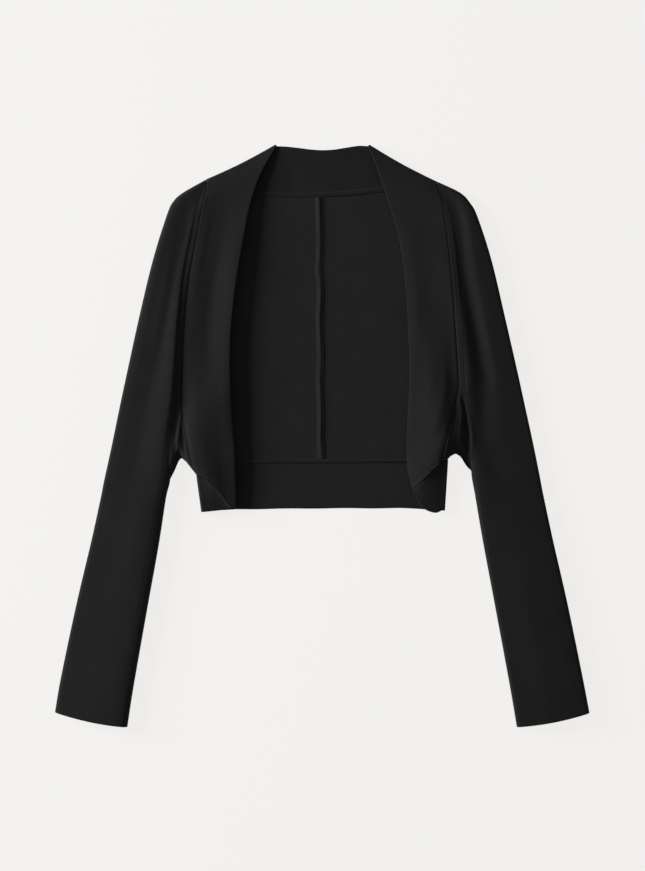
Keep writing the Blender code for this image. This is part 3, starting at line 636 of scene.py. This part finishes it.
def front_row(front, place, outward):
    """One row of a front, and how much of the folds each point takes."""
    last = len(front["seam_x"]) - 1
    out = shoulder_line(front, outward)[2]
    row = row_at(front, place)
    seam, free = np.array([row["seam_x"], row["seam_y"]]), np.array([row["free_x"], row["free_y"]])
    spots = across_band(seam, free, out, max(0.0, 1.0 - place))
    z = smooth_through(BAND_PARTS, FRONT_PARTS, [row[key] for key in FRONT_COLUMNS[4:]])
    end = np.hypot(*(0.5 * (front[key][-1] - row[key]) for key in ("seam_x", "seam_y")))
    end = 2.0 * end + (last - place) * 30.0 * BAND_PARTS
    shown = float(np.interp(row["seam_y"], *SEAM_CLEARNESS))
    if outward > 0.0:
        shown *= 1.0 - RIGHT_SEAM_FADE * min(1.0, max(0.0, place - 9.0))
        to_edge = np.hypot(*(spots - free).T)
        rolled = EDGE_ROLL * float(np.interp(place, *EDGE_ROLL_ROWS))
        z = z - rolled * np.clip(1.0 - to_edge / EDGE_ROLL_WIDTH, 0.0, 1.0) ** 2
        bow = np.interp(BAND_PARTS, BOW_PARTS, RIGHT_END_BOW)
        spots[:, 1] += bow * max(0.0, place - last + 1.0)
    z = z + shown * seam_profile(spots, seam) + END_WELT[0] * bump(end, END_WELT[1])
    takes = min(1.0, place / 0.6) * np.clip((1.0 - BAND_PARTS) / 0.12, 0.25, 1.0)
    return np.column_stack([spots, z, takes])


def fold_rows(front, outward):
    """The half turn over the shoulder, from the top layer down to the back."""
    seam, free, out = shoulder_line(front, outward)
    shown = SEAM_CLEARNESS[1][1]
    rows = []
    for k in range(1, FOLD_STEPS + 1):
        angle = math.pi * k / (FOLD_STEPS + 1)
        spots = across_band(seam, free, out, 1.0)
        welt = seam_profile(spots, spots[0]) * math.cos(angle) * shown
        z = SHOULDER_FOLD_RADIUS * (1.0 + math.cos(angle)) + welt
        spots = spots + out * SHOULDER_FOLD_RADIUS * math.sin(angle)
        rows.append(np.column_stack([spots, np.maximum(z, 0.0), np.zeros(len(z))]))
    return rows


def neck_rows():
    """The back neck, from one shoulder to the other, its free edge a little off the floor."""
    rows = []
    last = len(NECK_SEAM) - 1
    for place in np.linspace(0.0, last, 66):
        low = eased(NECK_SEAM, [place])[0] + (0.0, SEAM_GAP)
        high = eased(NECK_EDGE, [place])[0]
        side = (right_front, 1.0) if place < last / 2 else (left_front, -1.0)
        out = shoulder_line(*side)[2]
        spots = across_band(low, high, out, max(0.0, 1.0 - min(place, last - place)))
        z = NECK_LIFT * BAND_PARTS**2 * math.sin(math.pi * place / last) ** 0.5
        z = z + np.abs(unevenness(*spots.T, 0.3))
        rows.append(np.column_stack([spots, z, np.zeros(len(z))]))
    return rows


def band_cloth():
    """One long band: up the right front, round the back neck and down the left front."""
    places = spaced_places(RIGHT_FRONT, BAND_ROW_STEP, FRONT_FINER)
    rows = [front_row(right_front, place, 1.0) for place in places[::-1]]
    rows += fold_rows(right_front, 1.0)
    rows += neck_rows()
    rows += fold_rows(left_front, -1.0)[::-1]
    places = spaced_places(LEFT_FRONT, BAND_ROW_STEP, FRONT_FINER)
    rows += [front_row(left_front, place, -1.0) for place in places]
    rows = np.array(rows)
    x, y = rows[..., 0], rows[..., 1]
    rows[..., 2] += (relief(x, y, TOP_FOLDS) + unevenness(x, y)) * rows[..., 3]
    surface = Surface()
    surface.add_grid(rows[..., :3])
    name, node = "front_and_neck_band_cloth", "front_and_neck_band"
    return cloth_object(name, surface, BAND_WALL, "fine_knit", [node])


# ---- the rib pieces ----

# The back and the hem band meet on this one line, so no gap opens between them.
hem_seam_line = curve(HEM_SEAM, 90)
# How the back's ribs sway: how far, over what length, and from where.
RIB_SWAY = (0.8, 60.0, 0.9)
# How high and wide the cloth is drawn up beside the centre-back seam.
CENTRE_RISE = (0.4, 3.5)


def rib(distance):
    """Rounded ribs with narrow furrows between them."""
    phase = np.cos(2.0 * math.pi * distance / RIB_PITCH)
    return 0.5 * RIB_RELIEF * (phase + 0.25 * (1.0 - phase * phase))


def back_cloth(name, node, front, side):
    """One half of the back, from the centre seam to the armhole under the front."""
    line = armhole_line(front)
    widest = int(np.argmax(side * line[:, 0]))
    upper, lower = line[: widest + 1], line[widest:]
    neck = curve(NECK_SEAM, 65)
    shoulder, hip = abs(line[0][0]), abs(line[-1][0])
    reach = abs(line[widest][0]) - 0.6
    across = np.arange(0.1, reach, RIB_STEP)
    down = np.linspace(0.0, 1.0, 60)[:, None]
    x = side * across
    top = np.where(
        across <= shoulder,
        np.interp(x, *neck.T),
        np.interp(across, side * upper[:, 0], upper[:, 1]),
    )
    bottom = np.where(
        across <= hip,
        np.interp(x, *hem_seam_line.T) + SEAM_GAP,
        np.interp(across, side * lower[::-1, 0], lower[::-1, 1]),
    )
    y = top + (bottom - top) * down
    size, length, start = RIB_SWAY
    sway = size * np.sin(y / length + start)
    sway = sway * np.sin(math.pi * down) * np.sin(math.pi * across / reach)
    grid_x = x + sway
    z = BACK_TOP + rib(across) + BACK_FOLD_SHARE * relief(grid_x, y, BACK_FOLDS)
    z = z + CENTRE_RISE[0] * bump(across, CENTRE_RISE[1])
    surface = Surface()
    surface.add_grid(np.stack([grid_x, y, z], axis=2), flip=side > 0)
    return cloth_object(name, surface, RIB_WALL, "rib_knit", [node])


def front_end(front, x):
    """The height of a front's lower end at one x."""
    part = (x - front["seam_x"][-1]) / (front["free_x"][-1] - front["seam_x"][-1])
    part = float(np.clip(part, 0.0, 1.0))
    return smooth_through(part, FRONT_PARTS, [front[key][-1] for key in FRONT_COLUMNS[4:]])


def hem_front_columns(front, side_x, side_low, tip_x, heights, bow, edge):
    """One front end of the hem band, from its tip to the side fold: (top, low, out) of each."""
    end_x = abs(front["free_x"][-1]), abs(front["seam_x"][-1])
    end_y = front["free_y"][-1], front["seam_y"][-1]
    side_top_z, side_low_z, tip_z, slope = heights
    count = int(abs(tip_x - side_x) / RIB_STEP)
    columns = []
    for part in np.arange(count) / (count - 1):
        x = tip_x + (side_x - tip_x) * part
        low = tip_x + (side_low - tip_x) * part
        across = (end_x[1] - abs(x)) / (end_x[1] - end_x[0])
        top_y = np.interp(abs(x), end_x, end_y) + np.interp(across, BOW_PARTS, bow) - SEAM_GAP
        if abs(x) > end_x[1]:
            top_y = max(top_y, np.interp(x, *hem_seam_line.T))
        low_y = min(np.interp(low, *edge.T), top_y - 0.8)
        rise = min(1.0, (1.0 - part) * abs(tip_x - side_x) / slope)
        top_z = side_top_z + (front_end(front, x) - side_top_z) * rise
        low_z = side_low_z + (tip_z - side_low_z) * (1.0 - part)
        columns.append(((x, top_y, top_z), (low, low_y, low_z), (0.0, 1.0)))
    return columns


def hem_side_columns(side, side_x, side_low, heights):
    """One side fold, from the front layer down to the back."""
    radius = SHOULDER_FOLD_RADIUS
    count = int(math.pi * radius / RIB_STEP)
    columns = []
    for k in range(1, count + 1):
        angle = math.pi * k / (count + 1)
        out = side * math.sin(angle)
        x, low = side_x + radius * out, side_low + radius * out
        top_z, low_z = (0.5 * height * (1.0 + math.cos(angle)) for height in heights[:2])
        top_y, low_y = np.interp(x, *hem_seam_line.T), np.interp(low, *HEM_EDGE.T)
        if side < 0:
            top_y = min(top_y, right_front["seam_y"][-1] - SEAM_GAP)
        columns.append(((x, top_y, top_z), (low, low_y, low_z), (out, math.cos(angle))))
    return columns


def hem_back_columns(first, last):
    """The stretch under the back, between (x at the seam, x at the edge) of its two ends."""
    count = int((last[0] - first[0]) / RIB_STEP)
    columns = []
    for k in range(count + 1):
        x, low = first + (last - first) * k / count
        top_y, low_y = np.interp(x, *hem_seam_line.T), np.interp(low, *HEM_EDGE.T)
        columns.append(((x, top_y, 0.0), (low, low_y, 0.0), (0.0, -1.0)))
    return columns


def hem_cloth():
    """From the right front's tip round the side, along the back and round to the left tip."""
    right, left = np.array(HEM_SIDES) + [[SHOULDER_FOLD_RADIUS], [-SHOULDER_FOLD_RADIUS]]
    left_end = curve(LEFT_HEM_END, 30)
    straight = np.zeros(len(BOW_PARTS))
    columns = hem_front_columns(
        right_front, *right, HEM_TIPS[0], RIGHT_HEM_HEIGHTS, RIGHT_END_BOW, HEM_EDGE
    )
    columns += hem_side_columns(-1.0, *right, RIGHT_HEM_HEIGHTS)
    columns += hem_back_columns(right, left)
    columns += hem_side_columns(1.0, *left, LEFT_HEM_HEIGHTS)[::-1]
    columns += hem_front_columns(
        left_front, *left, HEM_TIPS[1], LEFT_HEM_HEIGHTS, straight, left_end
    )[::-1]
    down = np.linspace(0.0, 1.0, 16)[:, None]
    grid = []
    run = 0.0
    previous = None
    for top, low, out in columns:
        top, low = np.array(top), np.array(low)
        middle = 0.5 * (top + low)
        if previous is not None:
            run += np.linalg.norm(middle - previous)
        previous = middle
        spots = top + (low - top) * down
        spots[:, 2] = low[2] + (top[2] - low[2]) * (1.0 - down[:, 0]) ** 1.25
        raised = rib(run) + 0.5 * RIB_RELIEF
        if out[1] < 0.0:
            spots[:, 2] += raised + 0.15 * (1.0 + out[1])
        else:
            spots[:, 0] += raised * out[0]
            spots[:, 2] += raised * out[1]
        spots[:, 1] += 0.25 * math.sin(run / 11.0) * down[:, 0]
        grid.append(spots)
    grid = np.array(grid).transpose(1, 0, 2)
    surface = Surface()
    surface.add_grid(grid, middle=grid.shape[1] // 2)
    return cloth_object("hem_band_cloth", surface, RIB_WALL, "rib_knit", ["hem_band"])


# ---- seam allowances on the inside of the back ----

CENTRE_PATH = (
    (-3.6, 280.4), (-3.2, 262.0), (-2.5, 240.0), (-2.7, 214.0), (-3.5, 196.0), (-2.2, 178.0),
    (-1.8, 160.0), (-3.0, 138.0), (-2.2, 112.0), (-1.6, 88.0), (-2.7, 66.0), (-1.9, 44.0),
    (-1.4, 20.0), (-1.9, -2.0), (-0.9, -18.0), (-0.6, -29.0),
)
# Places across the centre-back allowance, and its height at each.
CENTRE_SECTION = (
    (-4.2, -0.35), (-3.7, -0.02), (-3.0, 0.10), (-2.2, 0.34), (-1.2, 0.70), (-0.4, 0.96),
    (0.1, 1.0), (0.5, 0.93), (1.0, 0.68), (1.8, 0.38), (3.0, 0.15), (4.0, -0.02), (4.5, -0.35),
)
# How far out the neck and hem allowances run, and how far they lie above their seams.
STRIP_REACH = 128.0
NECK_STRIP_SHIFT = 1.6
HEM_STRIP_SHIFT = 0.4
# Where along its length a flat allowance changes height, and how fast.
CHANGE_FROM = 0.48
CHANGE_RATE = 6.0
# A strip's edges end this far below the cloth that it lies on.
STRIP_SINK = 0.3


def back_height(x, y):
    folds = relief(np.array([x]), np.array([y]), BACK_FOLDS)[0]
    return BACK_TOP + 0.5 * RIB_RELIEF + BACK_FOLD_SHARE * folds


def seam_strip(name, path, profile, slot):
    """A narrow strip laid along a path; the profile gives (across, height) of its upper face."""
    path = np.array(path, float)
    length = np.hypot(*np.diff(path, axis=0).T).sum()
    count = int(length / STRIP_STEP)
    line = along(path, np.linspace(0.0, 1.0, count))
    ways = np.gradient(line, axis=0)
    ways /= np.linalg.norm(ways, axis=1, keepdims=True)
    grid = []
    for i, (spot, way) in enumerate(zip(line, ways)):
        across, height = np.array(profile(i / (count - 1), length)).T
        spots = spot + np.array([-way[1], way[0]]) * across[:, None]
        grid.append(np.column_stack([spots, back_height(*spot) + height]))
    surface = Surface()
    surface.add_grid(np.array(grid))
    return cloth_object(name, surface, STRIP_WALL, slot)


def centre_profile(part, length):
    """The allowance stands up a little: a long rise, a rounded crest and a steeper fall."""
    run = part * length
    size = 1.0 + 0.18 * math.sin(run / 19.0 + 0.6) + 0.12 * math.sin(run / 8.3)
    return [(across, height * size if height > 0 else height) for across, height in CENTRE_SECTION]


def flat_profile(width, height, far_height, roundness):
    """A flat strip, from one height at its start to another at its end."""

    def profile(part, length):
        run = part * length
        share = min(1.0, max(0.0, CHANGE_RATE * (part - CHANGE_FROM)))
        lift = (height + (far_height - height) * share) * (1.0 + 0.2 * math.sin(run / 14.0 + 1.0))
        steps = np.linspace(-1.0, 1.0, 9)
        shape = 1.0 - np.abs(steps) ** roundness
        return [(0.5 * width * s, lift * q - STRIP_SINK * (1.0 - q)) for s, q in zip(steps, shape)]

    return profile


# ---- the knits ----


def group_with(name, place, values, results):
    """A node group that takes a place and some values, and gives values that vary."""
    tree = bpy.data.node_groups.new(name, "ShaderNodeTree")
    tree.interface.new_socket(name=place, in_out="INPUT", socket_type="NodeSocketVector")
    for way, labels in (("INPUT", values), ("OUTPUT", results)):
        for label in labels:
            tree.interface.new_socket(name=label, in_out=way, socket_type="NodeSocketFloat")
    return tree, tree.nodes.new("NodeGroupInput"), tree.nodes.new("NodeGroupOutput")


def settings(node, values):
    """Sets a node's own inputs, by name."""
    for name, value in values.items():
        node.inputs[name].default_value = value


def maths(tree, operation, *values):
    """The result of a Math node whose values are numbers or other nodes' outputs."""
    node = tree.nodes.new("ShaderNodeMath")
    node.operation = operation
    for value, socket in zip(values, node.inputs):
        if isinstance(value, float):
            socket.default_value = value
        else:
            tree.links.new(value, socket)
    return node.outputs[0]


def noise(tree, vector, scale, detail, roughness=0.5):
    node = tree.nodes.new("ShaderNodeTexNoise")
    settings(node, {"Scale": scale, "Detail": detail, "Roughness": roughness})
    tree.links.new(vector, node.inputs["Vector"])
    return node.outputs[0]


def stitches_group():
    """Columns of V-shaped stitches, from the knit's own place in metres."""
    values = ("Stitch width", "Stitch height", "Waviness")
    tree, given, out = group_with("knit_stitches", "Knit place", values, ("Height",))
    wave = noise(tree, given.outputs["Knit place"], scale=260.0, detail=2.0)
    place = tree.nodes.new("ShaderNodeSeparateXYZ")
    tree.links.new(given.outputs["Knit place"], place.inputs[0])
    shift = maths(tree, "SUBTRACT", wave, 0.5)
    shift = maths(tree, "MULTIPLY", shift, given.outputs["Waviness"])
    column = maths(tree, "DIVIDE", place.outputs[0], given.outputs["Stitch width"])
    column = maths(tree, "ADD", column, shift)
    leg = maths(tree, "ABSOLUTE", maths(tree, "SUBTRACT", maths(tree, "FRACT", column), 0.5))
    row = maths(tree, "DIVIDE", place.outputs[1], given.outputs["Stitch height"])
    row = maths(tree, "ADD", row, shift)
    slant = maths(tree, "MULTIPLY", leg, 1.7)
    loop = maths(tree, "FRACT", maths(tree, "ADD", row, slant))
    yarn = maths(tree, "SINE", maths(tree, "MULTIPLY", loop, math.pi))
    limb = maths(tree, "SINE", maths(tree, "MULTIPLY", leg, 2.0 * math.pi))
    limb = maths(tree, "POWER", maths(tree, "MAXIMUM", limb, 0.0), 0.6)
    height = maths(tree, "MULTIPLY", maths(tree, "POWER", yarn, 0.7), limb)
    tree.links.new(height, out.inputs["Height"])
    return tree


def fuzz_group():
    """Slow and fine changes of tone over the cloth, and its loose fibres as a height."""
    tree, given, out = group_with("knit_fuzz", "Place", (), ("Tone", "Fibres"))
    slow = noise(tree, given.outputs["Place"], scale=24.0, detail=2.0)
    fine = noise(tree, given.outputs["Place"], scale=900.0, detail=4.0, roughness=0.65)
    slow_part, fine_part = maths(tree, "MULTIPLY", slow, 0.3), maths(tree, "MULTIPLY", fine, 0.7)
    tree.links.new(maths(tree, "ADD", slow_part, fine_part), out.inputs["Tone"])
    tree.links.new(fine, out.inputs["Fibres"])
    return tree


def knit_material(name, stitch_height, dark, light, depth):
    """Black knit: stitches that follow the cloth, painted shade between them, uneven tone, a
    little sheen.
    """
    material = bpy.data.materials.new(name)
    material.use_nodes = True
    tree = material.node_tree
    shader = tree.nodes["Principled BSDF"]
    settings(shader, {
        "Roughness": 0.9,
        "Specular IOR Level": 0.035,
        "Sheen Weight": 0.03,
        "Sheen Roughness": 0.55,
        "Sheen Tint": (0.55, 0.55, 0.57, 1.0),
    })
    knit = tree.nodes.new("ShaderNodeUVMap")
    knit.uv_map = "knit"
    where = tree.nodes.new("ShaderNodeTexCoord")
    stitches = tree.nodes.new("ShaderNodeGroup")
    stitches.node_tree = STITCHES
    settings(stitches, {
        "Stitch width": STITCH_WIDTH * MM,
        "Stitch height": stitch_height * MM,
        "Waviness": 0.25,
    })
    fuzz = tree.nodes.new("ShaderNodeGroup")
    fuzz.node_tree = FUZZ
    tree.links.new(knit.outputs[0], stitches.inputs["Knit place"])
    tree.links.new(where.outputs["Object"], fuzz.inputs["Place"])
    ramp = tree.nodes.new("ShaderNodeValToRGB")
    for stop, position, color in zip(ramp.color_ramp.elements, (0.3, 0.75), (dark, light)):
        stop.position = position
        stop.color = color
    # The stitches' height also sets the colour: painted shade, darker in the furrows between the
    # loops, over the cloth's own uneven tone.
    shade = maths(tree, "MULTIPLY_ADD", stitches.outputs["Height"], 0.35, fuzz.outputs["Tone"])
    tree.links.new(maths(tree, "SUBTRACT", shade, 0.12), ramp.inputs[0])
    tree.links.new(ramp.outputs[0], shader.inputs["Base Color"])
    height = maths(tree, "MULTIPLY_ADD", fuzz.outputs["Fibres"], 0.35, stitches.outputs["Height"])
    raised = tree.nodes.new("ShaderNodeBump")
    settings(raised, {"Strength": 0.5, "Distance": depth * MM})
    tree.links.new(height, raised.inputs["Height"])
    tree.links.new(raised.outputs[0], shader.inputs["Normal"])
    return material


STITCH_WIDTH = 1.3
STITCHES = stitches_group()
FUZZ = fuzz_group()
# The two knits, by the slot that each cloth piece names.
KNITS = {
    "fine_knit": knit_material(
        "black_fine_knit",
        stitch_height=1.0,
        dark=(0.0086, 0.0086, 0.0088, 1.0),
        light=(0.0132, 0.0132, 0.0135, 1.0),
        depth=0.11,
    ),
    "rib_knit": knit_material(
        "black_rib_knit",
        stitch_height=0.95,
        dark=(0.0098, 0.0098, 0.01, 1.0),
        light=(0.015, 0.015, 0.0153, 1.0),
        depth=0.09,
    ),
}

# ---- putting it together ----

right_front = columns_of(FRONT_COLUMNS, RIGHT_FRONT)
left_front = columns_of(FRONT_COLUMNS, LEFT_FRONT)

back_right = back_cloth("back_right_cloth", "back_right_panel", right_front, -1.0)
back_left = back_cloth("back_left_cloth", "back_left_panel", left_front, 1.0)
band = band_cloth()
hem = hem_cloth()
right_sleeve = sleeve_cloth(
    "right_sleeve_cloth", "right_sleeve", RIGHT_SLEEVE, right_front, RIGHT_UNDERARM_FOLD, -1.0
)
left_sleeve = sleeve_cloth(
    "left_sleeve_cloth", "left_sleeve", LEFT_SLEEVE, left_front, LEFT_UNDERARM_FOLD, 1.0
)

centre_line = curve(CENTRE_PATH, 160)
centre_seam = seam_strip("centre_back_seam", centre_line, centre_profile, "rib_knit")
neck_line = curve(NECK_SEAM, 90)
neck_line = neck_line[np.abs(neck_line[:, 0]) < STRIP_REACH] + (0.0, NECK_STRIP_SHIFT)
neck_profile = flat_profile(width=5.6, height=0.5, far_height=0.1, roundness=6.0)
neck_seam = seam_strip("neck_seam", neck_line[::-1], neck_profile, "fine_knit")
hem_line = hem_seam_line[np.abs(hem_seam_line[:, 0]) < STRIP_REACH] + (0.0, HEM_STRIP_SHIFT)
hem_profile = flat_profile(width=5.0, height=0.12, far_height=0.12, roundness=2.5)
hem_seam = seam_strip("hem_seam", hem_line[::-1], hem_profile, "rib_knit")

# ---- floor, light and camera ----

FLOOR_SIZE = 14.0
FLOOR_DROP = 0.6 * MM
bpy.ops.object.select_all(action="DESELECT")
bpy.ops.mesh.primitive_plane_add(size=FLOOR_SIZE, location=(0.0, 0.0, -FLOOR_DROP))
floor = bpy.context.active_object
floor.name = "studio_floor"
floor_material = bpy.data.materials.new("pale_floor")
floor_material.use_nodes = True
settings(floor_material.node_tree.nodes["Principled BSDF"], {
    "Base Color": (0.06, 0.06, 0.06, 1.0),
    "Roughness": 1.0,
    "Specular IOR Level": 0.0,
    "Emission Color": (0.83, 0.82, 0.804, 1.0),
    "Emission Strength": 1.0,
})
floor.data.materials.append(floor_material)

# The window is low on the left, a little towards the neck, so folds and edges throw soft shade.
WINDOW_DISTANCE = 3.3
WINDOW_ELEVATION = math.radians(16.4)
WINDOW_TURN = math.radians(16.0)
WINDOW_SIZE = 1.15
WINDOW_WATTS = 262.0
away = WINDOW_DISTANCE * math.cos(WINDOW_ELEVATION)
window_spot = Vector((
    -away * math.cos(WINDOW_TURN),
    away * math.sin(WINDOW_TURN),
    WINDOW_DISTANCE * math.sin(WINDOW_ELEVATION),
))
window = bpy.data.lights.new("window_light", "AREA")
window.shape = "RECTANGLE"
window.size = window.size_y = WINDOW_SIZE
window.energy = WINDOW_WATTS
window_light = bpy.data.objects.new("window_light", window)
window_light.location = window_spot
window_light.rotation_euler = (-window_spot).to_track_quat("-Z", "Y").to_euler()
bpy.context.scene.collection.objects.link(window_light)

world = bpy.data.worlds.new("studio_air")
bpy.context.scene.world = world
world.use_nodes = True
air = world.node_tree.nodes["Background"]
settings(air, {"Color": (1.0, 1.0, 1.0, 1.0), "Strength": 0.35})
bpy.context.scene.view_settings.view_transform = "Standard"

# The view is straight down. One pixel is this wide at the height of the cloth, and the middle of
# the garment is at this pixel.
PIXEL = 1.18 * MM
VIEW_WIDTH, VIEW_HEIGHT = 645, 871
GARMENT_CENTRE_PIXEL = (322.0, 434.5)
CLOTH_HEIGHT = 4.0 * MM
LENS = 100.0
camera_data = bpy.data.cameras.new("camera")
camera_data.sensor_width = 36.0
camera_data.lens = LENS
camera = bpy.data.objects.new("camera", camera_data)
bpy.context.scene.collection.objects.link(camera)
distance = VIEW_HEIGHT * PIXEL * LENS / camera_data.sensor_width
camera.location = (
    (VIEW_WIDTH / 2 - GARMENT_CENTRE_PIXEL[0]) * PIXEL,
    (GARMENT_CENTRE_PIXEL[1] - VIEW_HEIGHT / 2) * PIXEL,
    distance + CLOTH_HEIGHT,
)
bpy.context.scene.camera = camera
